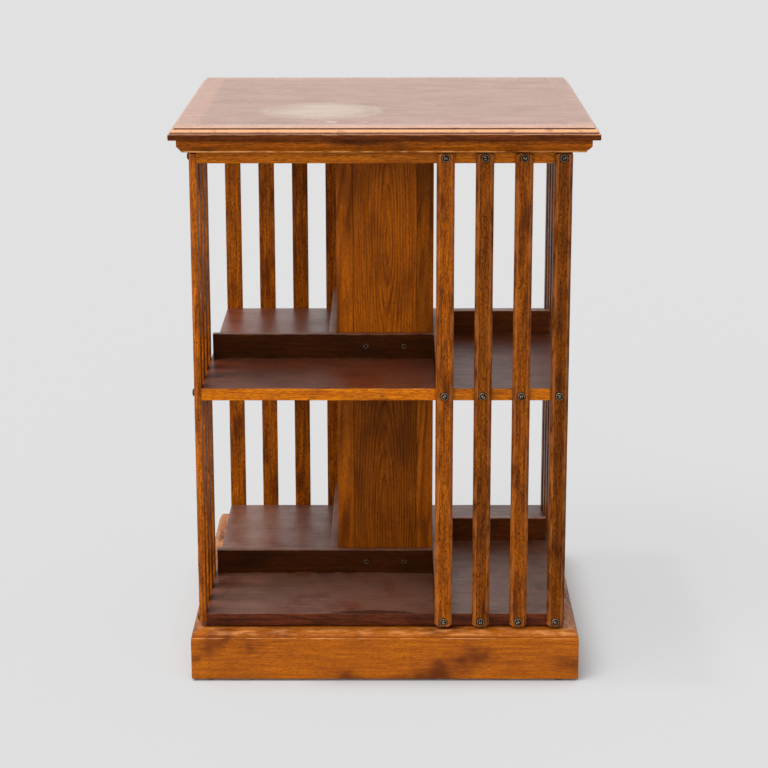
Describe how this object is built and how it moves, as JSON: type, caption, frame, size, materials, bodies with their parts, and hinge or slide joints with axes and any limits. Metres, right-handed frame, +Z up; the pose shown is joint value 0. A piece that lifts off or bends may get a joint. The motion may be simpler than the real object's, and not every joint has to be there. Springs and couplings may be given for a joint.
{
  "type": "revolving bookcase",
  "caption": "Square two-tier revolving bookcase with slatted sides, a hollow centre column, book stops and a moulded plinth.",
  "frame": {"origin": "on the floor, on the vertical axis that the case turns about", "axes": "+Z up; -Y is the front face, whose slats stand on its right half; +X is to the right seen from the front"},
  "size_m": [0.5, 0.5, 0.6853],
  "materials": {
    "top_wood": "stained hardwood, waxed, worn",
    "case_wood": "stained hardwood, shellac",
    "slat_wood": "stained hardwood, shellac, worn edges",
    "column_wood": "stained hardwood, satin",
    "stop_wood": "dark stained hardwood, matt",
    "plinth_wood": "stained hardwood, shellac",
    "hidden_wood": "bare softwood",
    "dark_bronze": "darkened bronze plate, rubbed",
    "steel": "turned steel",
    "iron": "black cast iron",
    "brass": "turned brass"
  },
  "bodies": {
    "base": {"plinth_front": "plinth_wood", "plinth_right": "plinth_wood", "plinth_back": "plinth_wood", "plinth_left": "plinth_wood", "cross_rail_side_to_side": "hidden_wood", "cross_rail_front_to_back": "hidden_wood", "plinth_corner_blocks": "hidden_wood", "plinth_glides": "steel", "foot_socket": "iron", "foot_socket_screws": "steel", "spindle": "steel", "thrust_ball": "steel"},
    "case": {"bearing_screws": "steel", "book_stop_lower_back": "stop_wood", "book_stop_lower_front": "stop_wood", "book_stop_lower_left": "stop_wood", "book_stop_lower_right": "stop_wood", "book_stop_screws": "dark_bronze", "book_stop_upper_back": "stop_wood", "book_stop_upper_front": "stop_wood", "book_stop_upper_left": "stop_wood", "book_stop_upper_right": "stop_wood", "bottom_shelf": "case_wood", "case_joint_screws": "steel", "case_top": "case_wood", "column_lower_back": "column_wood", "column_lower_front": "column_wood", "column_lower_left": "column_wood", "column_lower_right": "column_wood", "column_upper_back": "column_wood", "column_upper_front": "column_wood", "column_upper_left": "column_wood", "column_upper_right": "column_wood", "cornice_back": "case_wood", "cornice_front": "case_wood", "cornice_left": "case_wood", "cornice_right": "case_wood", "lower_bush": "brass", "middle_shelf": "case_wood", "pivot_cup": "iron", "slat_back_1": "slat_wood", "slat_back_2": "slat_wood", "slat_back_3": "slat_wood", "slat_back_4": "slat_wood", "slat_cup_washers": "dark_bronze", "slat_front_1": "slat_wood", "slat_front_2": "slat_wood", "slat_front_3": "slat_wood", "slat_front_4": "slat_wood", "slat_left_1": "slat_wood", "slat_left_2": "slat_wood", "slat_left_3": "slat_wood", "slat_left_4": "slat_wood", "slat_right_1": "slat_wood", "slat_right_2": "slat_wood", "slat_right_3": "slat_wood", "slat_right_4": "slat_wood", "slat_screws": "dark_bronze", "top_board": "top_wood"}
  },
  "joints": [
    {"name": "case_turn", "type": "hinge", "parent": "base", "child": "case", "pos_m": [0, 0, 0], "axis": [0, 0, 1], "continuous": true}
  ]
}
